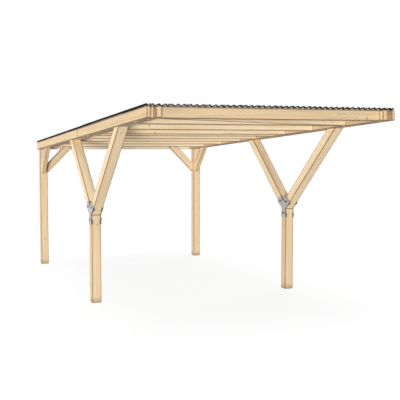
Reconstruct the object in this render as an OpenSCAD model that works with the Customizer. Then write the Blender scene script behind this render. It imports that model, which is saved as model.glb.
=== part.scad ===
// Single carport in timber: branching front posts, knee-braced rear posts, doubled side beams,
// rafters between them and a corrugated sheet roof that falls to the rear.
// Millimetres, +Z up, front at -Y, origin on the ground under the middle of the roof.

/* [Posts] */
// Side of each square post, and of each branch arm
post_w = 120; // [100:5:140]
// Distance across the bay between the centres of the left and right posts
post_span = 2780; // [2400:10:3400]
// Height of the front posts, up to where the arms branch off
front_post_h = 1140; // [1000:10:1300]
// Clear height under the side beams at the front posts
beam_clear_h = 2168; // [2000:1:2400]

/* [Branch arms] */
// Lean of the arms from upright, in degrees
arm_lean = 49.8; // [46:0.1:54]

/* [Branch plates] */
// Thickness of a branch plate
plate_t = 6; // [3:0.5:10]
// How far a plate reaches down the post
plate_drop = 122; // [90:1:150]
// How far a plate stays inside the sides of the post
plate_inset = 4; // [2:1:8]
// Reach of a plate along the lower edge of an arm
plate_low_reach = 168; // [140:1:190]
// Reach of a plate along the upper edge of an arm
plate_top_reach = 117; // [100:1:130]
// How far a plate's tips stay below the upper edge of an arm
plate_tip_inset = 12; // [8:1:20]
// How far back from each outer corner of a plate its rounding starts
plate_corner = 14; // [6:1:20]
// Width of the lips that a plate folds over the timbers
lip_w = 18; // [10:1:30]
// Length of the lips on the post and on the lower face of an arm
lip_len = 60; // [35:1:80]
// Length of the lips on the upper face of an arm
top_lip_len = 40; // [30:1:60]
// How far back from each free corner of a lip its rounding starts
lip_corner = 8; // [3:1:10]
// Straight edge between a plate's rounded corner and the lip next to it
lip_gap = 4; // [2:1:8]

/* [Side beams] */
// Fall of the roof to the rear, in degrees
roof_fall = 3.3; // [2:0.1:5]
// Height of the side beams and of the rafters
timber_h = 118; // [100:1:140]
// Thickness of the outer boards
outer_board_t = 38; // [28:1:50]
// Thickness of the inner beams
inner_beam_t = 60; // [45:1:80]
// Length of one board: two, end to end, make a side
board_len = 3125; // [2900:5:3500]
// From the front end of the side beams to the centres of the front posts
front_overhang = 2441; // [2000:1:2600]
// How far the first and last rafters stand inside the ends of the side beams
end_recess = 64; // [30:1:100]

/* [Rafters] */
// Thickness of a rafter
rafter_t = 60; // [45:1:80]
// From the front rafter to the second one, centre to centre
front_bay = 712; // [600:1:800]
// Spacing of the rafters that are set out from the middle of the roof
rafter_bay = 765; // [650:1:800]
// How far behind the board joint that spacing starts
bay_start = 15; // [0:1:40]
// From the rafter under the sheet lap back to the board joint
lap_rafter_lead = 395; // [300:1:480]
// From the board joint back to the rafter that stiffens it
joint_rafter_back = 190; // [120:1:300]

/* [Spacers and knee braces] */
// Thickness of the spacer blocks and of the knee braces
spacer_t = 58; // [45:1:70]
// How far the front spacer block stands inside the ends of the side beams
front_block_recess = 75; // [40:1:120]
// Length of the front spacer block
front_block_len = 150; // [100:1:250]
// How far a spacer block runs forward of the front arm's seat
arm_block_lead = 420; // [100:1:500]
// How far a spacer block runs back past the front arm's seat
arm_block_tail = 40; // [20:1:200]
// How far the joint's spacer block runs forward of the board joint
joint_block_lead = 300; // [150:1:400]
// How far the joint's spacer block runs back past the rear arm's seat
joint_block_tail = 250; // [50:1:400]
// How far a spacer block runs past each side of a rear post
post_block_margin = 60; // [20:1:62]
// Depth of a knee brace, square to its length
brace_depth = 112; // [80:1:130]
// Lean of the knee braces from upright, in degrees
brace_lean = 45; // [40:1:50]
// From the top of a rear post down to the lower edge of its braces
brace_drop = 418; // [350:1:500]
// How far the tops of the braces stay below the tops of the timbers
brace_top_gap = 10; // [2:1:30]

/* [Wind strap] */
// Width of the flat strap under the front bay
strap_w = 40; // [20:1:60]
// Thickness of the strap
strap_t = 2; // [1:0.5:4]
// How far the ends of the strap stay from the inner beams
strap_end_gap = 30; // [15:1:80]

/* [Roof sheets] */
// Thickness of a sheet
sheet_t = 1.5; // [1:0.1:3]
// Height of the waves
wave_depth = 24; // [15:1:30]
// Spacing of the waves, eased so that a whole number fits across the roof
wave_pitch = 68; // [60:1:80]
// How far the sheets stand out past the outer boards at each side
sheet_side_out = 5; // [0:1:20]
// How far the rear sheets run past the rear end of the side beams
sheet_rear_out = 45; // [0:1:80]
// Waves that neighbouring sheets share where they lap
lap_waves = 1; // [1:1:2]
// How far the rear sheets run forward of the lap rafter, under the front sheets
lap_lead = 250; // [100:1:300]
// How far the front sheets run back past the lap rafter
lap_tail = 60; // [35:1:150]

/* [Hidden] */
left = -1;
right = 1;
front = -1;
rear = 1;
timber_colour = "burlywood";
steel_colour = "lightsteelblue";
sheet_colour = "whitesmoke";

// Sides of the bay
post_x = post_span / 2;
beam_inner_x = post_x - spacer_t / 2;
beam_outer_x = post_x + spacer_t / 2;
rafter_len = 2 * (beam_inner_x - inner_beam_t);

// Roof, measured down the slope from the lower front edge of the side beams
roof_len = 2 * board_len;
roof_run = roof_len * cos(roof_fall);
sheet_end = roof_len + sheet_rear_out;
sheet_top = timber_h + wave_depth + 2 * sheet_t;
front_y = -(sheet_end * cos(roof_fall) + sheet_top * sin(roof_fall)) / 2;
front_z = beam_clear_h + front_overhang * tan(roof_fall);

// Underside of the side beams, and the place down the slope, at a given distance from the middle
function beam_z(y) = front_z - (y - front_y) * tan(roof_fall);
function down_slope(y) = (y - front_y) / cos(roof_fall);

// Posts
front_post_y = front_y + front_overhang;
rear_post_y = front_y + roof_run - end_recess - rafter_t - post_w / 2;
rear_post_front = rear_post_y - post_w / 2;
rear_post_back = rear_post_y + post_w / 2;

// Branch arms: the edges are measured outward from the post's centre line,
// where the lower edges of a pair would meet at the root and the upper ones meet at the crotch
arm_rise = 1 / tan(arm_lean);
arm_root_z = front_post_h - post_w / 2 * arm_rise;
crotch_z = arm_root_z + post_w / sin(arm_lean);
function arm_low_end(way) = (beam_clear_h - arm_root_z) / (arm_rise + way * tan(roof_fall));
function arm_top_end(way) = (beam_clear_h - crotch_z) / (arm_rise + way * tan(roof_fall));
function arm_seat_z(way, u) = beam_clear_h - way * u * tan(roof_fall);

// Knee braces
brace_rise = 1 / tan(brace_lean);
brace_cut = brace_depth / sin(brace_lean);
brace_low_z = beam_z(rear_post_y) - brace_drop;
brace_top_h = (timber_h - brace_top_gap) / cos(roof_fall);

// Rafters set out down the slope, by their centres
bay_zero = board_len + bay_start;
front_rafter_at = end_recess + rafter_t / 2;
lap_rafter_at = board_len - lap_rafter_lead;
rafter_at = [
    front_rafter_at + front_bay,
    bay_zero - 2 * rafter_bay,
    bay_zero - rafter_bay,
    lap_rafter_at,
    board_len + joint_rafter_back,
    bay_zero + rafter_bay,
    bay_zero + 2 * rafter_bay,
    bay_zero + 3 * rafter_bay
];

// Sheets: waves are counted from a crest at the left edge of the roof to a crest at the right
sheet_w = 2 * (beam_outer_x + outer_board_t + sheet_side_out);
wave_count = round(sheet_w / wave_pitch);
wave_step = sheet_w / wave_count;
side_waves = floor((wave_count + 2 * lap_waves) / 3);
wave_segments = 12;
lap_start = lap_rafter_at - lap_lead;
lap_end = lap_rafter_at + lap_tail;
front_row_lift = atan(2 * sheet_t / lap_start);

// A side view, drawn as distance to the rear and height, given a thickness from x towards +X
module side_slab(x, thick) {
    translate([x, 0, 0]) rotate([90, 0, 90]) linear_extrude(thick) children();
}

// Moves to the sloping plane of the roof: Y runs down the slope, Z stands square to it
module on_roof() {
    translate([0, front_y, front_z]) rotate([-roof_fall, 0, 0]) children();
}

// Short post that carries two arms
module front_post(side) {
    color(timber_colour)
        translate([side * post_x - post_w / 2, front_post_y - post_w / 2, 0])
            cube([post_w, post_w, front_post_h]);
}

// Tall post with its top cut to the fall of the beams
module rear_post(side) {
    color(timber_colour)
        side_slab(side * post_x - post_w / 2, post_w)
            polygon([
                [rear_post_front, 0],
                [rear_post_back, 0],
                [rear_post_back, beam_z(rear_post_back)],
                [rear_post_front, beam_z(rear_post_front)]
            ]);
}

// Arm that leans from the post's head to the beams, mitred against its twin on the centre line
module branch_arm(side, way) {
    low = arm_low_end(way);
    top = arm_top_end(way);
    outline = [
        [0, front_post_h],
        [post_w / 2, front_post_h],
        [low, arm_seat_z(way, low)],
        [top, arm_seat_z(way, top)],
        [0, crotch_z]
    ];
    color(timber_colour)
        side_slab(side * post_x - post_w / 2, post_w)
            polygon([for (p = outline) [front_post_y + way * p[0], p[1]]]);
}

// Points round the corner b of an outline that comes from a and goes on to c
function eased_corner(a, b, c, back) = let (
    entry = b + back * (a - b) / norm(a - b),
    exit = b + back * (c - b) / norm(c - b)
) [for (t = [0:0.2:1]) pow(1 - t, 2) * entry + 2 * t * (1 - t) * b + pow(t, 2) * exit];

// Lip of a plate at x, folded over a timber's face. It runs up from a spot on the timber's edge,
// turned from level, on the upper or the lower side of that face.
module plate_lip(x, inside, spot, turn, above, length) {
    reach = inside * (plate_t + lip_w);
    root = [0, 0];
    low = [reach, 0];
    high = [reach, length];
    root_end = [0, length];
    translate([inside > 0 ? x : x + plate_t, spot[0], spot[1]])
        rotate([turn, 0, 0])
            translate([0, 0, above ? 0 : -plate_t])
                linear_extrude(plate_t)
                    polygon(concat(
                        [root],
                        eased_corner(root, low, high, lip_corner),
                        eased_corner(low, high, root_end, lip_corner),
                        [root_end]
                    ));
}

// Steel plate in the shape of the branch, on one face of the timbers. At its foot and on both arms
// it steps out past the timbers' edges and folds its lips over them.
module branch_plate(x, inside) {
    half = post_w / 2 - plate_inset;
    out = post_w / 2 + plate_t;
    along = [sin(arm_lean), cos(arm_lean)];
    inward = [cos(arm_lean), -sin(arm_lean)];
    foot_z = front_post_h - plate_drop;
    neck = [half, front_post_h];
    low_corner = neck + plate_low_reach * along;
    crotch = [0, crotch_z];
    tip = crotch + plate_top_reach * along + plate_tip_inset * inward;

    // How far the plate's lower edge lies inside that of the arm
    edge_inset = plate_inset * cos(arm_lean);

    // Where the lips of an arm start and end, on the edges of its lower and upper faces
    low_end = neck + edge_inset * inward + (plate_low_reach - plate_corner - lip_gap) * along;
    low_start = low_end - lip_len * along;
    top_end = crotch + (plate_top_reach - plate_corner - lip_gap) * along;
    top_start = top_end - top_lip_len * along;

    // How far the plate's upper edge lies inside that of the arm, and a spot's place on either arm
    function top_inset(spot) = plate_tip_inset * norm(spot - crotch) / plate_top_reach;
    function lip_spot(way, spot) = [front_post_y + way * spot[0], spot[1]];
    half_outline = concat(
        [[out, foot_z], [out, foot_z + lip_len], [half, foot_z + lip_len], neck],
        [low_start - edge_inset * inward, low_start + plate_t * inward],
        [low_end + plate_t * inward, low_end - edge_inset * inward],
        eased_corner(neck, low_corner, tip, plate_corner),
        eased_corner(low_corner, tip, crotch, plate_corner),
        [top_end + top_inset(top_end) * inward, top_end - plate_t * inward],
        [top_start - plate_t * inward, top_start + top_inset(top_start) * inward]
    );
    last = len(half_outline) - 1;
    color(steel_colour) {
        side_slab(x, plate_t)
            translate([front_post_y, 0])
                polygon(concat(
                    half_outline,
                    [crotch],
                    [for (i = [last:-1:0]) [-half_outline[i][0], half_outline[i][1]]]
                ));
        for (way = [front, rear]) {
            turn = 90 - way * arm_lean;
            plate_lip(x, inside, lip_spot(way, [post_w / 2, foot_z]), 90, way == front, lip_len);
            plate_lip(x, inside, lip_spot(way, low_start), turn, way == front, lip_len);
            plate_lip(x, inside, lip_spot(way, top_start), turn, way == rear, top_lip_len);
        }
    }
}

// Knee brace that runs forward from a rear post and up between the outer board and inner beam
module side_brace(side) {
    head_z = beam_z(rear_post_front) + brace_top_h;
    low = (head_z - brace_low_z) / (brace_rise - tan(roof_fall));
    top = (head_z - brace_low_z - brace_cut) / (brace_rise - tan(roof_fall));
    color(timber_colour)
        side_slab(side * post_x - spacer_t / 2, spacer_t)
            polygon([
                [rear_post_front, brace_low_z],
                [rear_post_front, brace_low_z + brace_cut],
                [rear_post_front - top, brace_low_z + brace_cut + top * brace_rise],
                [rear_post_front - low, brace_low_z + low * brace_rise]
            ]);
}

// Knee brace across the bay, from a rear post up to the front face of the rear rafter
module cross_brace(side) {
    foot_x = post_x - post_w / 2;
    head_z = beam_z(rear_post_back) + brace_top_h;
    low = (head_z - brace_low_z) / brace_rise;
    top = (head_z - brace_low_z - brace_cut) / brace_rise;
    outline = [
        [foot_x, brace_low_z],
        [foot_x, brace_low_z + brace_cut],
        [foot_x - top, head_z],
        [foot_x - low, head_z]
    ];
    color(timber_colour)
        translate([0, rear_post_back, 0]) rotate([90, 0, 0]) linear_extrude(spacer_t)
            polygon([for (p = outline) [side * p[0], p[1]]]);
}

// Plank along one half of a side, given its inner and outer distance from the middle
module side_plank(side, near, far, half) {
    start = half == front ? 0 : board_len;
    color(timber_colour)
        on_roof()
            translate([side == left ? -far : near, start, 0])
                cube([far - near, board_len, timber_h]);
}

module outer_board(side, half) {
    side_plank(side, beam_outer_x, beam_outer_x + outer_board_t, half);
}

module inner_beam(side, half) {
    side_plank(side, beam_inner_x - inner_beam_t, beam_inner_x, half);
}

// Blocks that hold the outer board and inner beam apart: at the front end, over the front arm,
// over the board joint and rear arm, and over the rear post
module spacer_blocks(side) {
    spans = [
        [front_block_recess, front_block_recess + front_block_len],
        [
            down_slope(front_post_y - arm_low_end(front)) - arm_block_lead,
            down_slope(front_post_y - arm_top_end(front)) + arm_block_tail
        ],
        [board_len - joint_block_lead, down_slope(front_post_y + arm_low_end(rear)) + joint_block_tail],
        [down_slope(rear_post_front) - post_block_margin, down_slope(rear_post_back) + post_block_margin]
    ];
    color(timber_colour)
        on_roof()
            for (span = spans)
                translate([side * post_x - spacer_t / 2, span[0], 0])
                    cube([spacer_t, span[1] - span[0], timber_h]);
}

// Rafter between the inner beams, square to the slope
module rafter(centre) {
    color(timber_colour)
        on_roof()
            translate([-rafter_len / 2, centre - rafter_t / 2, 0])
                cube([rafter_len, rafter_t, timber_h]);
}

// Last rafter, plumb behind the rear posts, with its rear upper edge under the sheets
module rear_rafter() {
    top_z = beam_z(rear_post_back + rafter_t) + timber_h / cos(roof_fall);
    color(timber_colour)
        translate([-rafter_len / 2, rear_post_back, top_z - timber_h])
            cube([rafter_len, rafter_t, timber_h]);
}

// Flat steel strap from the left end of the front rafter to the right end of the second
module wind_strap() {
    reach_x = rafter_len - 2 * strap_end_gap - strap_w;
    strap_turn = atan(front_bay / reach_x);
    strap_len = norm([reach_x, front_bay]);
    color(steel_colour)
        on_roof()
            translate([0, front_rafter_at + front_bay / 2, -strap_t])
                rotate([0, 0, strap_turn])
                    translate([-strap_len / 2, -strap_w / 2, 0])
                        cube([strap_len, strap_w, strap_t]);
}

// Height of the waves' underside, by the count of waves from the left edge
function wave_z(k) = wave_depth / 2 * (1 + cos(360 * k));

// Corrugated sheet from one wave to another, between two places down the slope
module corrugated(first_wave, last_wave, start, end) {
    steps = [for (i = [first_wave * wave_segments : last_wave * wave_segments]) i / wave_segments];
    underside = [for (k = steps) [k * wave_step - sheet_w / 2, wave_z(k)]];
    last = len(underside) - 1;
    translate([0, end, 0]) rotate([90, 0, 0]) linear_extrude(end - start)
        polygon(concat(underside, [for (i = [last:-1:0]) underside[i] + [0, sheet_t]]));
}

// Sheet of the front or rear row: the middle one lies on its neighbours,
// and the front row climbs a hair so that it laps over the rear row
module roof_sheet(column, row) {
    first_wave = column == left ? 0 : column == right ? wave_count - side_waves : side_waves - lap_waves;
    last_wave = column == left ? side_waves : column == right ? wave_count
        : wave_count - side_waves + lap_waves;
    level = column == 0 ? sheet_t : 0;
    color(sheet_colour)
        on_roof()
            translate([0, 0, timber_h + level])
                if (row == front)
                    rotate([front_row_lift, 0, 0]) corrugated(first_wave, last_wave, 0, lap_end);
                else
                    corrugated(first_wave, last_wave, lap_start, sheet_end);
}

front_post(left);  // front_left_post
front_post(right);  // front_right_post
rear_post(left);  // rear_left_post
rear_post(right);  // rear_right_post
branch_arm(left, front);  // left_front_arm
branch_arm(left, rear);  // left_rear_arm
branch_arm(right, front);  // right_front_arm
branch_arm(right, rear);  // right_rear_arm
branch_plate(-post_x - post_w / 2 - plate_t, 1);  // left_outer_plate
branch_plate(-post_x + post_w / 2, -1);  // left_inner_plate
branch_plate(post_x + post_w / 2, -1);  // right_outer_plate
branch_plate(post_x - post_w / 2 - plate_t, 1);  // right_inner_plate
side_brace(left);  // left_side_brace
side_brace(right);  // right_side_brace
cross_brace(left);  // left_cross_brace
cross_brace(right);  // right_cross_brace
outer_board(left, front);  // left_outer_board_front
outer_board(left, rear);  // left_outer_board_rear
outer_board(right, front);  // right_outer_board_front
outer_board(right, rear);  // right_outer_board_rear
inner_beam(left, front);  // left_inner_beam_front
inner_beam(left, rear);  // left_inner_beam_rear
inner_beam(right, front);  // right_inner_beam_front
inner_beam(right, rear);  // right_inner_beam_rear
spacer_blocks(left);  // left_spacer_blocks
spacer_blocks(right);  // right_spacer_blocks
rafter(front_rafter_at);  // front_rafter
rafter(rafter_at[0]);  // rafter_2
rafter(rafter_at[1]);  // rafter_3
rafter(rafter_at[2]);  // rafter_4
rafter(rafter_at[3]);  // rafter_5
rafter(rafter_at[4]);  // rafter_6
rafter(rafter_at[5]);  // rafter_7
rafter(rafter_at[6]);  // rafter_8
rafter(rafter_at[7]);  // rafter_9
rear_rafter();
wind_strap();
roof_sheet(left, front);  // front_left_sheet
roof_sheet(0, front);  // front_middle_sheet
roof_sheet(right, front);  // front_right_sheet
roof_sheet(left, rear);  // rear_left_sheet
roof_sheet(0, rear);  // rear_middle_sheet
roof_sheet(right, rear);  // rear_right_sheet
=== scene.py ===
import math

import bpy
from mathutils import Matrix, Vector


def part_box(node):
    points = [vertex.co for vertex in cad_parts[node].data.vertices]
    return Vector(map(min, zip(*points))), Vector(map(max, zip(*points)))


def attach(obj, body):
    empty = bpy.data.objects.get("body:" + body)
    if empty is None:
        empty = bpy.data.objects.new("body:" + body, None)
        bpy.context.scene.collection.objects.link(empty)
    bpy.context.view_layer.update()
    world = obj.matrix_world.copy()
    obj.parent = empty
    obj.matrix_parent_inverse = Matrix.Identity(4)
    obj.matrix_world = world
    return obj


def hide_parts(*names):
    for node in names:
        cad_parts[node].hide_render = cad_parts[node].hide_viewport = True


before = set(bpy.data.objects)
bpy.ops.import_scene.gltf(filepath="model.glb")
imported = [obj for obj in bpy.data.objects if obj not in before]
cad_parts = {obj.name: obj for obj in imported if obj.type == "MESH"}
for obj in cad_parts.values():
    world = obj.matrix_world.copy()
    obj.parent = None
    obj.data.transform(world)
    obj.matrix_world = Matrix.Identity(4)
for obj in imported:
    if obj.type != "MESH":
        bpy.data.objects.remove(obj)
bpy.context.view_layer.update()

# Posts: four square posts of glued softwood, 120 mm on a side, planed and with eased arrises.
# Each is glued up from three 40 mm layers that stand side by side across the post, and it is
# oiled pale; the feet stand straight on the ground and draw a little damp.
glued_layer = 0.04
arris_ease = 0.004
arris_angle = math.radians(25)
# the arrises' darker copy of each timber takes its colours at this share: painted shade along edges and
# joints
arris_shade_share = 0.26
skin_weld = 0.0001
up_the_post = Vector((0, 0, 1))
across_the_bay = Vector((1, 0, 0))
timber_pale = (0.81, 0.62, 0.385, 1)
timber_dark = (0.64, 0.435, 0.235, 1)
knot_brown = (0.36, 0.2, 0.095, 1)
# brown of the painted shade along edges and ends, also used for checks and for damp at the feet
shade_check_damp_brown = (0.2, 0.105, 0.05, 1)
posts = ("front_left_post", "front_right_post", "rear_left_post", "rear_right_post")


class Socket:
    """One output of a material's nodes. Arithmetic on it adds the Math nodes."""

    def __init__(self, tree, output=None):
        self.tree = tree
        self.output = output

    def node(self, kind, settings, values, output=0):
        """Adds a node of that kind, with its settings first and then its sockets."""
        made = self.tree.nodes.new("ShaderNode" + kind)
        for name, setting in settings.items():
            setattr(made, name, setting)
        for name, value in values.items():
            if isinstance(value, Socket):
                self.tree.links.new(value.output, made.inputs[name])
            else:
                made.inputs[name].default_value = value
        return Socket(self.tree, made.outputs[output] if len(made.outputs) else None)

    def math(self, operation, *values):
        return self.node("Math", {"operation": operation}, dict(enumerate(values)))

    def __add__(self, other):
        return self.math("ADD", self, other)

    def __radd__(self, other):
        return self.math("ADD", other, self)

    def __sub__(self, other):
        return self.math("SUBTRACT", self, other)

    def __rsub__(self, other):
        return self.math("SUBTRACT", other, self)

    def __mul__(self, other):
        return self.math("MULTIPLY", self, other)

    def __rmul__(self, other):
        return self.math("MULTIPLY", other, self)

    def __truediv__(self, other):
        return self.math("DIVIDE", self, other)

    def __rtruediv__(self, other):
        return self.math("DIVIDE", other, self)

    def __pow__(self, other):
        return self.math("POWER", self, other)

    def __rpow__(self, other):
        return self.math("POWER", other, self)

    def __abs__(self):
        return self.math("ABSOLUTE", self)


def start_finish(name):
    material = bpy.data.materials.new(name)
    material.use_nodes = True
    material.node_tree.nodes.clear()
    return material, Socket(material.node_tree)


def end_finish(start, values):
    shader = start.node("BsdfPrincipled", {}, values)
    start.node("OutputMaterial", {}, {"Surface": shader})


def vector(operation, first, second, output="Vector"):
    values = {0: first, 1: second}
    return first.node("VectorMath", {"operation": operation}, values, output)


def part_of(vector_socket, axis):
    return vector_socket.node("SeparateXYZ", {}, {0: vector_socket}, axis)


def point(x, y, z):
    return x.node("CombineXYZ", {}, {"X": x, "Y": y, "Z": z})


def blended(amount, first, second):
    values = {"Factor": amount, 6: first, 7: second}
    return amount.node("Mix", {"data_type": "RGBA"}, values, 2)


def eased(value, zero_at, one_at):
    """0 at zero_at and beyond, 1 at one_at and beyond, with a smooth run between."""
    values = {"Value": value, "From Min": zero_at, "From Max": one_at}
    return value.node("MapRange", {"interpolation_type": "SMOOTHSTEP"}, values)


def mottle(place, detail):
    values = {"Vector": place, "Scale": 1, "Detail": detail, "Roughness": 0.55}
    return place.node("TexNoise", {}, values)


def bumped(height, depth, strength):
    return height.node("Bump", {}, {"Height": height, "Distance": depth, "Strength": strength})


def planed_timber(name, pale, dark):
    """Planed softwood: year rings round a heart, streaks, fibres, knots, checks and end grain, and
    painted shade along its edges and ends.
    The way of the grain, the middle and the size of a piece are read from the piece itself."""
    ring_width = 0.0042
    heart_aside = 0.16
    heart_wander = 0.05
    heart_below = 0.05
    heart_range = 0.12
    knots_per_metre = 8
    knot_rarity = 0.91
    ring_bulge = 0.007
    checks_per_metre = 26
    check_half = 0.0003
    edge_shade_width = 0.015
    damp_top = 0.09
    damp_ragged = 0.08
    grain_depth = 0.0009
    material, start = start_finish(name)

    def of_piece(what):
        settings = {"attribute_type": "OBJECT", "attribute_name": what}
        return start.node("Attribute", settings, {}, "Vector")

    along, side, centre, half = (of_piece(w) for w in ("along", "side", "centre", "half"))
    position = start.node("TexCoord", {}, {}, "Object")
    place = vector("SUBTRACT", position, centre)
    across = vector("DOT_PRODUCT", place, side, "Value")
    deep = vector("DOT_PRODUCT", place, vector("CROSS_PRODUCT", along, side), "Value")
    length = vector("DOT_PRODUCT", place, along, "Value")

    layer = start.math("FLOOR", (deep * 0.99 + part_of(half, "Y")) / part_of(half, "Z"))
    draw = {"Vector": centre, "W": layer}
    chance = start.node("TexWhiteNoise", {"noise_dimensions": "4D"}, draw, "Color")
    chance_a, chance_b, chance_c = (part_of(chance, axis) for axis in "XYZ")

    def grain(strokes, run, shift, detail):
        """Unevenness drawn out along the grain, from its strokes a metre across and along it."""
        return mottle(point(across * strokes, deep * strokes + shift, length * run), detail)

    wander = grain(3, 0.55, chance_a * 40, 1) - 0.5
    heart_across = across + (chance_a - 0.5) * heart_aside + wander * heart_wander
    heart_deep = deep + heart_below + chance_b * heart_range
    heart_turn = start.math("ARCTAN2", heart_deep, heart_across)

    along_cells = length * knots_per_metre + chance_b * 60
    cell_place = point(heart_turn + chance_a * 9, along_cells, chance_c)
    cells = {"Vector": cell_place, "Scale": 1}
    flat_cells = {"voronoi_dimensions": "2D"}
    knot_far = start.node("TexVoronoi", flat_cells, cells, "Distance")
    knot_draw = part_of(start.node("TexVoronoi", flat_cells, cells, "Color"), "X")
    knot_kept = start.math("GREATER_THAN", knot_draw, knot_rarity)
    knot = eased(knot_far, 0.1, 0.07) * knot_kept
    knot_rim = eased(abs(knot_far - 0.088), 0.022, 0.006) * knot_kept
    swirl = eased(knot_far, 0.3, 0.05) * knot_kept

    reach = (heart_across * heart_across + heart_deep * heart_deep) ** 0.5
    year = (reach + swirl * ring_bulge) / ring_width
    late_wood = start.math("FRACT", year) ** 3
    streak = grain(38, 1.1, chance_b * 70, 3)
    fibre = grain(620, 9, 0, 2)

    def side_of_check(shift):
        shifted = [(way + shift) * checks_per_metre for way in (across, deep)]
        spot = point(shifted[0], shifted[1] + chance_c * 50, length * 0.7)
        return start.math("GREATER_THAN", mottle(spot, 1), 0.5)

    check_patch = mottle(point(across * 9, deep * 9, length * 1.3 + chance_c * 80), 1)
    check = abs(side_of_check(check_half) - side_of_check(-check_half))
    check = check * eased(check_patch, 0.56, 0.66)

    tone = late_wood * 0.42 + eased(streak, 0.36, 0.7) * 0.5
    tone = tone + (fibre - 0.5) * 0.35 + (chance_c - 0.5) * 0.3
    wood = blended(tone, pale, dark)

    facing = vector("DOT_PRODUCT", start.node("NewGeometry", {}, {}, "Normal"), along, "Value")
    end_grain = eased(abs(facing), 0.62, 0.85)
    check = check * (1 - end_grain)
    wood = blended(end_grain * (0.03 + late_wood * 0.2), wood, knot_brown)
    wood = blended(start.math("MAXIMUM", knot * 0.5, knot_rim * 0.62), wood, knot_brown)
    wood = blended(check * 0.75, wood, shade_check_damp_brown)

    ends = of_piece("ends")
    across_far = part_of(half, "X") - abs(across)
    deep_far = part_of(half, "Y") - abs(deep)
    end_far = start.math("MINIMUM", length - part_of(ends, "X"), part_of(ends, "Y") - length)
    nearer = start.math("MINIMUM", across_far, deep_far)
    farther = start.math("MAXIMUM", across_far, deep_far)
    edge_far = start.math("MAXIMUM", nearer, start.math("MINIMUM", farther, end_far))
    patchy = grain(9, 5, 0, 2)
    # painted shade: the timber turns darker within a band of its edges and its ends
    painted_edge_shade = eased(edge_far, edge_shade_width, 0.003) * (0.55 + patchy * 0.5)
    wood = blended(painted_edge_shade, wood, shade_check_damp_brown)
    over_ground = part_of(position, "Z") + (streak - 0.5) * damp_ragged
    damp = eased(over_ground, damp_top, 0.015) * 0.4
    wood = blended(damp, wood, shade_check_damp_brown)

    height = fibre * 0.5 - late_wood * 0.3 - check * 2.5 + knot * 0.5
    end_finish(start, {
        "Base Color": wood,
        "Roughness": 0.52 + fibre * 0.14 + late_wood * 0.05 + end_grain * 0.12 - knot * 0.1,
        "Specular IOR Level": 0.35,
        "Normal": bumped(height, grain_depth, 0.55),
    })
    return material


def shaded(colour, share):
    return (*(share * c for c in colour[:3]), 1)


def oiled_timber(name, pale, dark):
    """The finish of a timber's faces and a darker copy for its arrises: painted shade that marks edges
    and joints.
    """
    arris = planed_timber(f"{name}_arris", shaded(pale, arris_shade_share), shaded(dark, arris_shade_share))
    return planed_timber(f"{name}_timber", pale, dark), arris


def dress_timber(name, finish, along, side, half, centre=None, layer=None):
    """Gives a timber its finish, and the darker copy, painted shade, on its eased arrises."""
    low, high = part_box(name)
    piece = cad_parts[name]
    piece["along"] = along
    piece["side"] = side
    piece["centre"] = centre or (low + high) / 2
    piece["half"] = (*half, layer or 2 * half[1])
    reaches = [(v.co - Vector(piece["centre"])).dot(along) for v in piece.data.vertices]
    piece["ends"] = (min(reaches), max(reaches), 0.0)
    piece.data.materials.clear()
    for coat in finish:
        piece.data.materials.append(coat)
    weld = piece.modifiers.new("one_skin", "WELD")
    weld.merge_threshold = skin_weld
    ease = piece.modifiers.new("eased_arrises", "BEVEL")
    ease.width = arris_ease
    ease.segments = 2
    ease.angle_limit = arris_angle
    # the bevel faces take the darker copy, painted shade
    ease.material = 1


post_low, post_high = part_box(posts[0])
post_half = (post_high.x - post_low.x) / 2
post_out = abs(post_low.x + post_high.x) / 2
post_top = post_high.z
post_section = (post_half, post_half)
post_finish = oiled_timber("post", timber_pale, timber_dark)
for post in posts:
    dress_timber(post, post_finish, up_the_post, across_the_bay, post_section, layer=glued_layer)

# Branch arms: four arms of glued timber that lean out from the heads of the front posts, in a paler
# copy of the timber, painted light against the shade on their downward faces.
# Each is cut level on the post, plumb against its twin and to the roof's fall at the top,
# where the side beams sit on it.
arm_lean = math.radians(49.8)
# painted light: paler than the posts' timber, to make up for the shade on the arms' downward faces
arm_lit_pale = (0.97, 0.775, 0.505, 1)
arm_lit_dark = (0.82, 0.6, 0.35, 1)
arm_lit_finish = oiled_timber("arm", arm_lit_pale, arm_lit_dark)
for hand in ("left", "right"):
    post_low, post_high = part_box(f"front_{hand}_post")
    post_middle = (post_low + post_high) / 2
    for name, way in ((f"{hand}_front_arm", -1), (f"{hand}_rear_arm", 1)):
        up_the_arm = Vector((0, way * math.sin(arm_lean), math.cos(arm_lean)))
        inward = Vector((0, -way * math.cos(arm_lean), math.sin(arm_lean)))
        outer_corner = Vector((post_middle.x, post_middle.y + way * post_half, post_top))
        middle = outer_corner + inward * post_half
        dress_timber(name, arm_lit_finish, up_the_arm, across_the_bay, post_section, middle, glued_layer)

# Branch plates: 6 mm galvanised steel cut to the shape of the branch, one on each face of it, with
# lips folded over the edges of the post and the arms. The edges are broken by a file, and the zinc
# shows a dull spangle; the lips and the broken edges are painted darker, as shade.
zinc_pale = (0.57, 0.54, 0.54, 1)
zinc_dark = (0.42, 0.4, 0.4, 1)
# painted shade: near-black grey for the plates' lips and broken edges
zinc_painted_shade = (0.05, 0.046, 0.046, 1)
zinc_bloom = (0.62, 0.61, 0.6, 1)
plate_edge = 0.0012
plate_edge_angle = math.radians(40)
plate_weld = 0.0002
corner_weld = 0.00002
flat_within = math.radians(1)
plate_spangle = 160
spangle_relief = 0.0002
lip_shade_share = 0.82
lip_edge = 0.002


def magnified(place, times):
    return vector("MULTIPLY", place, (times, times, times))


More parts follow.
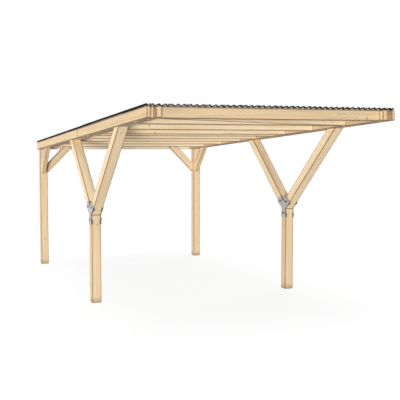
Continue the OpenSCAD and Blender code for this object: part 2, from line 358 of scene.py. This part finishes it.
def galvanised(name, pale, dark, spangle, flat=None):
    """Hot-dipped zinc: grains of crystal in slightly different greys, with white bloom.
    A plate's lips and its cut rims, which look away from its flat faces, are painted darker as shade."""
    material, start = start_finish(name)
    position = start.node("TexCoord", {}, {}, "Object")
    warp = mottle(magnified(position, 60), 2) * 0.5
    grains = {"Vector": magnified(position, spangle), "Scale": 1}
    grain = part_of(start.node("TexVoronoi", {}, grains, "Color"), "X")
    bloom = eased(mottle(magnified(position, 22), 3), 0.45, 0.75)
    tone = grain * 0.6 + warp * 0.5
    zinc = blended(tone, pale, dark)
    zinc = blended(bloom * 0.25, zinc, zinc_bloom)
    if flat:
        # painted shade: faces that look away from the plate's flat faces turn darker
        facing = vector("DOT_PRODUCT", start.node("NewGeometry", {}, {}, "Normal"), flat, "Value")
        from_post = abs(abs(part_of(position, "X")) - post_out)
        off_lip = eased(from_post, post_half - lip_edge, post_half)
        painted_lip_shade = eased(abs(facing), 0.8, 0.4) * (lip_shade_share + (1 - lip_shade_share) * off_lip)
        zinc = blended(painted_lip_shade, zinc, zinc_painted_shade)
    end_finish(start, {
        "Base Color": zinc,
        "Metallic": 0.9 - bloom * 0.25,
        "Roughness": 0.42 + grain * 0.14 + bloom * 0.2,
        "Normal": bumped(grain + warp, spangle_relief, 0.3),
    })
    return material


plate_finish = galvanised("plate_zinc", zinc_pale, zinc_dark, plate_spangle, tuple(across_the_bay))
# the broken edges' bevel faces carry this near-black zinc, painted shade
plate_edge_shade_finish = galvanised("plate_rim", zinc_painted_shade, shaded(zinc_painted_shade, 0.7), plate_spangle)
for hand in ("left", "right"):
    for face in ("outer", "inner"):
        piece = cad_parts[f"{hand}_{face}_plate"]
        piece.data.materials.clear()
        piece.data.materials.append(plate_finish)
        piece.data.materials.append(plate_edge_shade_finish)
        weld = piece.modifiers.new("one_skin", "WELD")
        weld.merge_threshold = plate_weld
        whole = piece.modifiers.new("whole_faces", "DECIMATE")
        whole.decimate_type = "DISSOLVE"
        whole.angle_limit = flat_within
        ease = piece.modifiers.new("broken_edges", "BEVEL")
        ease.width = plate_edge
        ease.segments = 2
        ease.angle_limit = plate_edge_angle
        ease.use_clamp_overlap = False
        ease.material = 1
        clean = piece.modifiers.new("clean_corners", "WELD")
        clean.merge_threshold = corner_weld

# Branch bolts: three M16 bolts go through each pair of plates and the timber between them,
# one in each arm and one in the post's head, with washers, and with nuts on the inner face.
bolt_r = 0.008
bolt_hex_r = 0.0139
bolt_head_h = 0.010
nut_h = 0.0135
washer_r = 0.017
washer_t = 0.003
washer_chamfer = 0.0006
hex_chamfer = 0.0014
bolt_end = 0.007
thread_chamfer = 0.0015
arm_bolt_out = 0.088
arm_bolt_up = 0.1
post_bolt_down = 0.063
bolt_spangle = 500
washer_sides = 32
thread_sides = 20
hex_sides = 6
hex_spin = 0.3
bolt_grey = (0.2, 0.19, 0.19, 1)


def turned(centre, axis, profile, sides, spin=0.0):
    """Points and faces of a turned or hexagonal piece. The profile is (radius, height) pairs along
    the axis, with a third number where six lobes stand out, and a radius of 0 closes it."""
    axis = axis.normalized()
    first = axis.orthogonal().normalized()
    second = axis.cross(first)
    points = []
    faces = []
    last = []
    for radius, height, *lobe in profile:
        middle = centre + axis * height
        ring = []
        for i in range(sides if radius else 1):
            turn = spin + 2 * math.pi * i / sides
            spoke = first * math.cos(turn) + second * math.sin(turn)
            ring.append(len(points))
            points.append(middle + spoke * (radius + sum(lobe) * math.cos(6 * turn)))
        for i in range(sides if last else 0):
            loop = [last[i % len(last)], last[(i + 1) % len(last)]]
            loop += [ring[(i + 1) % len(ring)], ring[i % len(ring)]]
            faces.append(list(dict.fromkeys(loop)))
        last = ring
    return points, faces


def joined(name, shapes, finish, sharp=35):
    """One piece of the object made from many small shapes."""
    points = []
    faces = []
    for shape_points, shape_faces in shapes:
        start = len(points)
        points += shape_points
        faces += [[start + i for i in face] for face in shape_faces]
    mesh = bpy.data.meshes.new(name)
    mesh.from_pydata(points, [], faces)
    mesh.polygons.foreach_set("use_smooth", [True] * len(mesh.polygons))
    mesh.set_sharp_from_angle(angle=math.radians(sharp))
    mesh.materials.append(finish)
    piece = bpy.data.objects.new(name, mesh)
    bpy.context.scene.collection.objects.link(piece)
    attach(piece, "root")
    return piece


def capped(centre, axis, radius, height, chamfer, sides, spin=0.0):
    """A washer, bolt head or nut: a low block with its upper rim cut off."""
    rim = [(0, 0), (radius, 0), (radius, height - chamfer), (radius - chamfer, height), (0, height)]
    return turned(centre, axis, rim, sides, spin)


bolt_steel = galvanised("bolt_steel", bolt_grey, shaded(bolt_grey, 0.7), bolt_spangle)
for hand, outward in (("left", -across_the_bay), ("right", across_the_bay)):
    post_low, post_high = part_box(f"front_{hand}_post")
    post_middle = (post_low + post_high) / 2
    outer_low, outer_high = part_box(f"{hand}_outer_plate")
    to_plate_face = abs((outer_low if hand == "left" else outer_high).x - post_middle.x)
    shapes = []
    for y, z in ((-arm_bolt_out, arm_bolt_up), (arm_bolt_out, arm_bolt_up), (0, -post_bolt_down)):
        axis_point = Vector((post_middle.x, post_middle.y + y, post_top + z))
        for way, hex_h in ((outward, bolt_head_h), (-outward, nut_h)):
            seat = axis_point + way * to_plate_face
            hex_start = seat + way * washer_t
            shapes.append(capped(seat, way, washer_r, washer_t, washer_chamfer, washer_sides))
            shapes.append(capped(hex_start, way, bolt_hex_r, hex_h, hex_chamfer, hex_sides, hex_spin))
        thread_start = hex_start + way * nut_h
        shapes.append(capped(thread_start, way, bolt_r, bolt_end, thread_chamfer, thread_sides))
    joined(f"{hand}_branch_bolts", shapes, bolt_steel)

# Side beams: on each side an outer board of 38 mm and an inner beam of 60 mm, both two lengths
# of planed softwood end to end. They lie on the arms and rear posts and fall with the roof.
roof_fall = math.radians(3.3)
down_the_roof = Vector((0, math.cos(roof_fall), -math.sin(roof_fall)))
out_of_roof = Vector((0, math.sin(roof_fall), math.cos(roof_fall)))
timber_h = 0.118
plank_finish = oiled_timber("plank", timber_pale, timber_dark)
for hand in ("left", "right"):
    for name in (f"{hand}_outer_board_front", f"{hand}_outer_board_rear",
                 f"{hand}_inner_beam_front", f"{hand}_inner_beam_rear"):
        low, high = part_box(name)
        section = ((high.x - low.x) / 2, timber_h / 2)
        dress_timber(name, plank_finish, down_the_roof, across_the_bay, section)
low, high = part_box("left_outer_board_front")
roof_corner = Vector((0, low.y, high.z - timber_h * math.cos(roof_fall)))

# Spacer blocks: 58 mm thick, in the gap between the outer board and the inner beam at the front end,
# over both arms and over the rear post. They wear the arms' paler timber, painted light against the
# shade in that gap. Board and beam are screwed to them from both sides with pan-head screws in yellow
# zinc.
screw_r = 0.006
screw_h = 0.0026
screw_rim_h = 0.0008
screw_shoulder_h = 0.0018
screw_sides = 24
screw_spangle = 700
drive_r = 0.0023
drive_lobe = 0.0004
drive_depth = 0.0018
screw_from_end = 0.03
screw_rows = (0.03, 0.088)
gold_pale = (0.62, 0.47, 0.25, 1)
gold_dark = (0.42, 0.3, 0.14, 1)


def pan_screw(seat, outward):
    """The head of a driven screw, with its six-lobed drive."""
    drive_floor = screw_h - drive_depth
    profile = [(0, 0), (screw_r, 0), (screw_r, screw_rim_h), (screw_r * 0.93, screw_shoulder_h)]
    profile += [(screw_r * 0.7, screw_h), (drive_r, screw_h, drive_lobe)]
    profile += [(drive_r, drive_floor, drive_lobe), (0, drive_floor)]
    return turned(seat, outward, profile, screw_sides)


def roof_reach(spot):
    """How far a place lies down the roof from its front end."""
    return (spot - roof_corner).dot(down_the_roof)


def on_side(x, reach, height):
    """A place on a side beam's face: down the roof, and up from the beam's lower edge."""
    spot = roof_corner + down_the_roof * reach + out_of_roof * height
    return Vector((x, spot.y, spot.z))


def reaches_of(name):
    """The places down the roof where a node's pieces start and end, in order."""
    return sorted({round(roof_reach(v.co), 4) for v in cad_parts[name].data.vertices})


screw_finish = galvanised("screw_zinc", gold_pale, gold_dark, screw_spangle)
for hand, outward in (("left", -across_the_bay), ("right", across_the_bay)):
    name = f"{hand}_spacer_blocks"
    low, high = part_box(name)
    middle = on_side((low.x + high.x) / 2, 0, timber_h / 2)
    section = ((high.x - low.x) / 2, timber_h / 2)
    # painted light: the arms' paler timber offsets the shade in the gap between board and beam
    dress_timber(name, arm_lit_finish, down_the_roof, across_the_bay, section, middle)
    block_ends = reaches_of(name)
    shapes = []
    for timber, face_way in (("outer_board", outward), ("inner_beam", -outward)):
        for half_run in ("front", "rear"):
            name = f"{hand}_{timber}_{half_run}"
            low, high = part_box(name)
            face_x = high.x if face_way.x > 0 else low.x
            timber_start, *_, timber_end = reaches_of(name)
            for block_start, block_end in zip(block_ends[::2], block_ends[1::2]):
                start = max(block_start, timber_start) + screw_from_end
                end = min(block_end, timber_end) - screw_from_end
                reaches = (start, end) if end > start else ()
                seats = [on_side(face_x, reach, row) for reach in reaches for row in screw_rows]
                shapes += [pan_screw(seat, face_way) for seat in seats]
    joined(f"{hand}_beam_screws", shapes, screw_finish)

# Knee braces: 58 by 112 mm softwood at 45 degrees from the rear posts. The side braces run forward
# and up between outer board and inner beam, the cross braces run in and up to the rear rafter.
# Two screws go up through each foot into the post, and two hold each head.
to_the_rear = Vector((0, 1, 0))
brace_lean = math.radians(45)
brace_depth = 0.112
foot_screw_up = 0.05
foot_screw_apart = 0.015
head_screw_apart = 0.026
for hand, inward_x in (("left", 1), ("right", -1)):
    low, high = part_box(f"{hand}_side_brace")
    brace_half = ((high.x - low.x) / 2, brace_depth / 2)
    up_the_brace = Vector((0, -math.sin(brace_lean), math.cos(brace_lean)))
    square_to_it = Vector((0, math.cos(brace_lean), math.sin(brace_lean)))
    foot = Vector(((low.x + high.x) / 2, high.y, low.z))
    middle = foot + square_to_it * brace_depth / 2
    dress_timber(f"{hand}_side_brace", plank_finish, up_the_brace, across_the_bay, brace_half, middle)
    shapes = []
    for apart in (-foot_screw_apart, foot_screw_apart):
        seat = foot + up_the_brace * foot_screw_up + across_the_bay * apart
        shapes.append(pan_screw(seat, -square_to_it))
    to_beam_middle = timber_h / 2 - (middle - roof_corner).dot(out_of_roof)
    crossing = middle + up_the_brace * to_beam_middle / up_the_brace.dot(out_of_roof)
    for timber, face_way in (("outer_board", -inward_x), ("inner_beam", inward_x)):
        low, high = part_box(f"{hand}_{timber}_rear")
        for apart in (-head_screw_apart, head_screw_apart):
            seat = crossing + square_to_it * apart
            seat.x = high.x if face_way > 0 else low.x
            shapes.append(pan_screw(seat, across_the_bay * face_way))

    low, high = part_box(f"{hand}_cross_brace")
    up_the_brace = Vector((inward_x * math.sin(brace_lean), 0, math.cos(brace_lean)))
    square_to_it = Vector((-inward_x * math.cos(brace_lean), 0, math.sin(brace_lean)))
    foot = Vector((low.x if hand == "left" else high.x, (low.y + high.y) / 2, low.z))
    middle = foot + square_to_it * brace_depth / 2
    dress_timber(f"{hand}_cross_brace", plank_finish, up_the_brace, to_the_rear, brace_half, middle)
    for apart in (-foot_screw_apart, foot_screw_apart):
        seat = foot + up_the_brace * foot_screw_up + to_the_rear * apart
        shapes.append(pan_screw(seat, -square_to_it))
    rafter_low, rafter_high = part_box("rear_rafter")
    to_rafter_middle = (rafter_low.z + rafter_high.z) / 2 - middle.z
    crossing = middle + up_the_brace * to_rafter_middle / up_the_brace.z
    for apart in (-head_screw_apart, head_screw_apart):
        seat = crossing + square_to_it * apart
        seat.y = low.y
        shapes.append(pan_screw(seat, -to_the_rear))
    joined(f"{hand}_brace_screws", shapes, screw_finish)

# Rafters: 60 by 118 mm planed softwood between the inner beams. All but the front one wear a paler copy
# of the timber, painted light against the shade under the roof.
# They stand square to the roof, apart from the last one, which is plumb behind the rear posts.
rafter_w = 0.06
rafter_half = (rafter_w / 2, timber_h / 2)
# painted light: a paler copy of the timber for the rafters that lie in shade under the roof
rafter_lit_pale = (0.95, 0.78, 0.53, 1)
rafter_lit_dark = (0.78, 0.57, 0.34, 1)
rafter_lit_finish = oiled_timber("rafter", rafter_lit_pale, rafter_lit_dark)
inner_rafters = [f"rafter_{i}" for i in range(2, 10)]
dress_timber("front_rafter", plank_finish, across_the_bay, down_the_roof, rafter_half)
for name in inner_rafters:
    dress_timber(name, rafter_lit_finish, across_the_bay, down_the_roof, rafter_half)
dress_timber("rear_rafter", rafter_lit_finish, across_the_bay, to_the_rear, rafter_half)

# Wind strap: a flat band of galvanised steel, 40 by 2 mm and punched with two rows of holes, under
# the first bay from corner to corner. The zinc has gone dark, and broad-headed nails through
# the holes hold its ends up to the front rafter and the second one.
hole_r = 0.0025
hole_pitch = 0.02
hole_sides = 16
first_corner = 0.625
nail_r = 0.0042
nail_h = 0.0016
nail_rim_h = 0.0006
nail_shoulder_h = 0.0012
nail_sides = 20
nailed_holes = (0, 2, 3)
strap_spangle = 240
strap_pale = (0.1, 0.094, 0.09, 1)
strap_dark = (0.05, 0.046, 0.044, 1)


def punched_cell(middle_u, middle_v, half_u, half_v):
    """The flat faces round one hole, as (along, across) points that meet those of the next cell."""
    rim = [(-1, -1), (0, -1), (1, -1), (1, 0), (1, 1), (0, 1), (-1, 1), (-1, 0)]
    rim = [(middle_u + half_u * u, middle_v + half_v * v) for u, v in rim]
    hole = []
    for i in range(hole_sides):
        turn = 2 * math.pi * (i / hole_sides + first_corner)
        hole.append((middle_u + hole_r * math.cos(turn), middle_v + hole_r * math.sin(turn)))
    faces = []
    for i in range(8):
        arc = [hole[(2 * i + k) % hole_sides] for k in (2, 1, 0)]
        faces.append([rim[i], rim[(i + 1) % 8], *arc])
    return faces


def thick_sheet(flat_faces, place):
    """Points and faces of a flat shape given some thickness. place(u, v, level) gives its points,
    with level 0 for the lower side and 1 for the upper one."""
    spots = {}
    faces = []
    open_edges = {}
    for face in flat_faces:
        loop = [spots.setdefault((round(u, 6), round(v, 6)), len(spots)) for u, v in face]
        faces.append(loop)
        for edge in zip(loop, loop[1:] + loop[:1]):
            if open_edges.pop(edge[::-1], None) is None:
                open_edges[edge] = True
    count = len(spots)
    points = [place(u, v, level) for level in (0, 1) for u, v in spots]
    upper = [[count + i for i in loop] for loop in faces]
    lower = [loop[::-1] for loop in faces]
    walls = [[a, b, count + b, count + a] for a, b in open_edges]
    return points, upper + lower + walls


strap_spots = [v.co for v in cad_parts["wind_strap"].data.vertices]
strap_corners = sorted({tuple(round(c, 5) for c in spot) for spot in strap_spots})
strap_start = sum((Vector(c) for c in strap_corners[:4]), Vector()) / 4
strap_end = sum((Vector(c) for c in strap_corners[4:]), Vector()) / 4
strap_len = (strap_end - strap_start).length
along_strap = (strap_end - strap_start).normalized()
across_strap = out_of_roof.cross(along_strap)
strap_half_w = max((Vector(c) - strap_start).dot(across_strap) for c in strap_corners)
strap_half_t = max((Vector(c) - strap_start).dot(out_of_roof) for c in strap_corners)
cell_count = int(strap_len / hole_pitch)
strap_plain = (strap_len - cell_count * hole_pitch) / 2


def on_strap(u, v, level):
    lift = out_of_roof * strap_half_t * (2 * level - 1)
    return strap_start + along_strap * u + across_strap * v + lift


def plain_patch(u0, u1, v0, v1):
    """A piece with no hole, with points halfway up its ends as in the cells beside it."""
    middle_v = (v0 + v1) / 2
    return [(u0, v0), (u1, v0), (u1, middle_v), (u1, v1), (u0, v1), (u0, middle_v)]


half_pitch = hole_pitch / 2
row_v = strap_half_w / 2
near_end = strap_plain + half_pitch
far_end = strap_len - near_end
flat_faces = []
for i in range(cell_count):
    flat_faces += punched_cell(near_end + i * hole_pitch, -row_v, half_pitch, row_v)
for i in range(cell_count - 1):
    flat_faces += punched_cell(near_end + half_pitch + i * hole_pitch, row_v, half_pitch, row_v)
for u0, u1 in ((0, strap_plain), (strap_len - strap_plain, strap_len)):
    flat_faces.append(plain_patch(u0, u1, -strap_half_w, 0))
    flat_faces.append(plain_patch(u0, u1, 0, strap_half_w))
for u0, u1 in ((strap_plain, near_end), (far_end, strap_len - strap_plain)):
    flat_faces.append(plain_patch(u0, u1, 0, strap_half_w))
strap_finish = galvanised("strap_zinc", strap_pale, strap_dark, strap_spangle)
band = joined("wind_strap_band", [thick_sheet(flat_faces, on_strap)], strap_finish)
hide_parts("wind_strap")

nail_rim = [(nail_r, 0), (nail_r, nail_rim_h), (nail_r * 0.8, nail_shoulder_h)]
nail_head = [(0, 0), *nail_rim, (0, nail_h)]
shapes = []
for i in nailed_holes:
    for u in (near_end + i * hole_pitch, far_end - i * hole_pitch):
        shapes.append(turned(on_strap(u, -row_v, 0), -out_of_roof, nail_head, nail_sides))
joined("wind_strap_nails", shapes, bolt_steel)

# Roof sheets: six corrugated sheets of off-white plastic, 1.5 mm thick, three to a row. The middle
# column lies over its neighbours by one wave, and the front row laps over the rear one.
sheet_t = 0.0015
wave_count = 43
steps_per_wave = 24
sheet_pale = (0.86, 0.85, 0.82, 1)
sheet_grime = (0.5, 0.49, 0.44, 1)
growth_dark = (0.016, 0.015, 0.013, 1)
growth_pale = (0.06, 0.056, 0.048, 1)
crest_growth = 0.035
under_growth = 0.06
valley_growth = 0.1
speck_ragged = 0.045
run_ragged = 0.03
lap_stain = 0.02
lap_stain_reach = 0.09
columns = ("left", "middle", "right")
roof_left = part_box("rear_left_sheet")[0].x
roof_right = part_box("rear_right_sheet")[1].x
wave_step = (roof_right - roof_left) / wave_count
sheet_end = reaches_of("rear_left_sheet")[-1]
lap_end = reaches_of("front_left_sheet")[-1]


def weathered_sheet(name):
    """Semi-gloss plastic with flow lines down the sheet, grime in the valleys and below the lap,
    and dark growth along the roof's edges that reaches farthest in up the valleys."""
    material, start = start_finish(name)
    position = start.node("TexCoord", {}, {}, "Object")
    normal = start.node("NewGeometry", {}, {}, "Normal")
    x, y, z = (part_of(position, axis) for axis in "XYZ")
    reach = vector("DOT_PRODUCT", position, tuple(down_the_roof), "Value")
    reach = reach - roof_corner.dot(down_the_roof)
    lifted = vector("DOT_PRODUCT", normal, tuple(out_of_roof), "Value")

    wave = (x - roof_left) * (2 * math.pi / wave_step)
    swell = start.math("COSINE", wave)
    valley = eased(swell, -0.1, -1)
    run = mottle(point(x * 24, y * 0.8, z * 4), 3)
    speck = mottle(point(x * 90, y * 60, z * 60), 3)
    cloud = mottle(point(x * 1.6, y * 0.9, z), 2)
    from_stain = abs(reach - lap_end - lap_stain)
    below_lap = eased(from_stain, lap_stain_reach, 0.01) * eased(speck + run, 0.75, 1.25)
    grime = valley * eased(run, 0.38, 0.72) * 0.42 + eased(speck, 0.64, 0.8) * 0.12
    grime = grime + eased(cloud, 0.48, 0.75) * 0.14 + below_lap * 0.35

    end_far = start.math("MINIMUM", reach, sheet_end - reach)
    side_far = start.math("MINIMUM", x - roof_left, roof_right - x)
    edge_far = start.math("MINIMUM", end_far, side_far * 2)
    upper_side = eased(lifted, -0.1, 0.1)
    upper_growth = crest_growth + eased(swell, 0.75, 0.3) * (valley_growth - crest_growth)
    growth_reach = under_growth + upper_side * (upper_growth - under_growth)
    ragged = (speck - 0.5) * speck_ragged + (run - 0.5) * run_ragged
    ragged = ragged * (1 + upper_side)
    growth = eased(edge_far + ragged, growth_reach, growth_reach * 0.6)
    plastic = start.node("BsdfPrincipled", {}, {
        "Base Color": blended(grime, sheet_pale, sheet_grime),
        "Roughness": 0.42 + grime * 0.35 + (speck - 0.5) * 0.12,
        "Specular IOR Level": 0.4,
        "Normal": bumped(run * 0.4 + speck * 0.3, 0.0006, 0.35),
    })
    crust = start.node("BsdfPrincipled", {}, {
        "Base Color": blended(eased(speck, 0.45, 0.75), growth_dark, growth_pale),
        "Roughness": 0.95,
        "Specular IOR Level": 0.05,
        "Normal": bumped(speck, 0.001, 0.5),
    })
    skin = start.node("MixShader", {}, {0: growth, 1: plastic, 2: crust})
    start.node("OutputMaterial", {}, {"Surface": skin})
    return material


def wave_form(name):
    """How far a sheet reaches down the roof, how high it lies, and its first and last wave."""
    spots = [v.co - roof_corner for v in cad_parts[name].data.vertices]
    start = min(s.dot(down_the_roof) for s in spots)
    end = max(s.dot(down_the_roof) for s in spots)
    middle = (start + end) / 2
    start_level = min(s.dot(out_of_roof) for s in spots if s.dot(down_the_roof) < middle)
    end_level = min(s.dot(out_of_roof) for s in spots if s.dot(down_the_roof) > middle)
    high_level = max(s.dot(out_of_roof) for s in spots if s.dot(down_the_roof) < middle)
    low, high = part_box(name)
    first = round((low.x - roof_left) / wave_step)
    last = round((high.x - roof_left) / wave_step)
    return start, end, start_level, end_level, high_level - start_level - sheet_t, first, last


def corrugated(start, end, start_level, end_level, depth, first, last):
    """Points and faces of one sheet: underside and top, closed round the edges."""
    points = []
    count = (last - first) * steps_per_wave + 1
    for reach, level, lift in ((start, start_level, 0), (end, end_level, 0),
                               (start, start_level, sheet_t), (end, end_level, sheet_t)):
        for i in range(count):
            wave = first + i / steps_per_wave
            height = level + lift + depth / 2 * (1 + math.cos(2 * math.pi * wave))
            x = roof_left + wave * wave_step
            points.append(on_side(x, reach, height))
    low_start, low_end, top_start, top_end = (row * count for row in range(4))
    faces = []
    for i in range(count - 1):
        faces.append([low_start + i, low_end + i, low_end + i + 1, low_start + i + 1])
        faces.append([top_start + i, top_start + i + 1, top_end + i + 1, top_end + i])
        faces.append([low_start + i, low_start + i + 1, top_start + i + 1, top_start + i])
        faces.append([low_end + i, top_end + i, top_end + i + 1, low_end + i + 1])
    faces.append([low_start, top_start, top_end, low_end])
    n = count - 1
    faces.append([low_start + n, low_end + n, top_end + n, top_start + n])
    return points, faces


sheet_finish = weathered_sheet("roof_sheet")
sheet_forms = {}
for row in ("front", "rear"):
    for column in columns:
        node = f"{row}_{column}_sheet"
        sheet_forms[node] = wave_form(node)
        waves = corrugated(*sheet_forms[node])
        piece = joined(f"{row}_{column}_waves", [waves], sheet_finish, sharp=60)
        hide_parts(node)

# Roof screws: steel screws with domed caps on dark rubber washers, through every third crest
# and down across the hollow of the wave into each rafter.
cap_r = 0.011
cap_h = 0.007
rubber_r = 0.013
rubber_t = 0.0038
rubber_press = 0.0008
rubber_chamfer = 0.0008
cap_sides = 16
dome_steps = 4
shank_r = 0.0031
shank_sides = 10
shank_down = 0.0205
rubber_grey = (0.05, 0.05, 0.052, 1)
rubber_dust = (0.2, 0.2, 0.19, 1)
screw_crests = [*range(1, wave_count, 3), wave_count - 1]


def crest_top(crest, reach):
    """Height of the uppermost sheet over a crest at a place down the roof."""
    tops = []
    for start, end, start_level, end_level, depth, first, last in sheet_forms.values():
        if start <= reach <= end and first <= crest <= last:
            share = (reach - start) / (end - start)
            tops.append(start_level + share * (end_level - start_level) + depth + sheet_t)
    return max(tops)


def rubber(name):
    material, start = start_finish(name)
    position = start.node("TexCoord", {}, {}, "Object")
    dust = mottle(magnified(position, 240), 3)
    end_finish(start, {
        "Base Color": blended(dust * 0.4, rubber_grey, rubber_dust),
        "Roughness": 0.6 + dust * 0.3,
    })
    return material


dome_turns = [step * math.pi / (2 * dome_steps) for step in range(dome_steps)]
dome = [(cap_r * math.cos(turn), cap_h * math.sin(turn)) for turn in dome_turns]
shank = [(0, 0), (shank_r, 0), (shank_r, shank_down), (0, shank_down)]
cap_shapes = []
rubber_shapes = []
for name in ("front_rafter", *inner_rafters, "rear_rafter"):
    low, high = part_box(name)
    reach = roof_reach((low + high) / 2)
    for crest in screw_crests:
        seat_height = crest_top(crest, reach) - rubber_press
        rubber_seat = on_side(roof_left + crest * wave_step, reach, seat_height)
        washer = capped(rubber_seat, out_of_roof, rubber_r, rubber_t, rubber_chamfer, cap_sides)
        rubber_shapes.append(washer)
        cap_seat = rubber_seat + out_of_roof * rubber_t
        cap_shapes.append(turned(cap_seat, out_of_roof, [(0, 0), *dome, (0, cap_h)], cap_sides))
        cap_shapes.append(turned(rubber_seat, -out_of_roof, shank, shank_sides))
joined("roof_screw_caps", cap_shapes, bolt_steel, sharp=60)
joined("roof_screw_washers", rubber_shapes, rubber("screw_rubber"), sharp=40)

# Floor and light: a plain pale floor that keeps a soft shadow, and even light from all round. The
# soft lamps stand high over the roof, low in front and on the left, where they reach in under
# the roof, and behind on the right.
floor_half = 60
floor_self_light = 0.905
floor_pale = (0.13, 0.13, 0.13, 1)
plain_white = (1, 1, 1, 1)
around = 0.15
high_strength = 1.7
front_strength = 2.75
left_strength = 1.74
rear_strength = 2.4


def straight_view(start):
    """1 where floor or sky is seen, straight, mirrored or through glass, and 0 for its light."""
    camera, mirrored, through = (
        start.node("LightPath", {}, {}, f"Is {ray} Ray") for ray in ("Camera", "Glossy", "Transmission")
    )
    return start.math("MAXIMUM", start.math("MAXIMUM", camera, mirrored), through)


floor_finish, start = start_finish("pale_floor")
self_light = straight_view(start) * floor_self_light
glow = start.node("Emission", {}, {"Color": plain_white, "Strength": self_light})
pale = start.node("BsdfDiffuse", {}, {"Color": floor_pale})
start.node("OutputMaterial", {}, {"Surface": start.node("AddShader", {}, {0: glow, 1: pale})})
floor_corners = [(-floor_half, -floor_half, 0), (floor_half, -floor_half, 0)]
floor_corners += [(floor_half, floor_half, 0), (-floor_half, floor_half, 0)]
floor_mesh = bpy.data.meshes.new("floor")
floor_mesh.from_pydata(floor_corners, [], [(0, 1, 2, 3)])
floor_mesh.materials.append(floor_finish)
floor = bpy.data.objects.new("floor", floor_mesh)
floor.visible_shadow = False
bpy.context.scene.collection.objects.link(floor)

world = bpy.data.worlds.new("even_light")
bpy.context.scene.world = world
world.use_nodes = True
world.node_tree.nodes.clear()
sky = Socket(world.node_tree)
sky_light = {"Color": plain_white, "Strength": around + straight_view(sky) * (1 - around)}
sky.node("OutputWorld", {}, {"Surface": sky.node("Background", {}, sky_light)})


def lamp(name, strength, spread, towards):
    light = bpy.data.lights.new(name, "SUN")
    light.energy = strength
    light.angle = math.radians(spread)
    holder = bpy.data.objects.new(name, light)
    holder.rotation_euler = Vector(towards).to_track_quat("-Z", "Y").to_euler()
    bpy.context.scene.collection.objects.link(holder)


lamp("high_light", high_strength, 40, (0.1, 0.14, -1))
lamp("low_front_light", front_strength, 15, (0.38, 0.92, 0.09))
lamp("low_left_light", left_strength, 25, (1, 0.15, 0.09))
lamp("rear_light", rear_strength, 40, (-0.68, -0.72, -0.2))

# Camera: nearly eleven metres in front of the carport's middle and four to the left, a little over
# head height, looking slightly down.
lens = bpy.data.cameras.new("camera")
lens.sensor_width = 36
lens.lens = 71.88
lens.clip_end = 200
camera = bpy.data.objects.new("camera", lens)
camera.location = (-3.8665, -10.7407, 2.0509)
camera.rotation_euler = (math.radians(85.958), 0, math.radians(-21.378))
bpy.context.scene.collection.objects.link(camera)
bpy.context.scene.camera = camera
bpy.context.scene.view_settings.view_transform = "Standard"
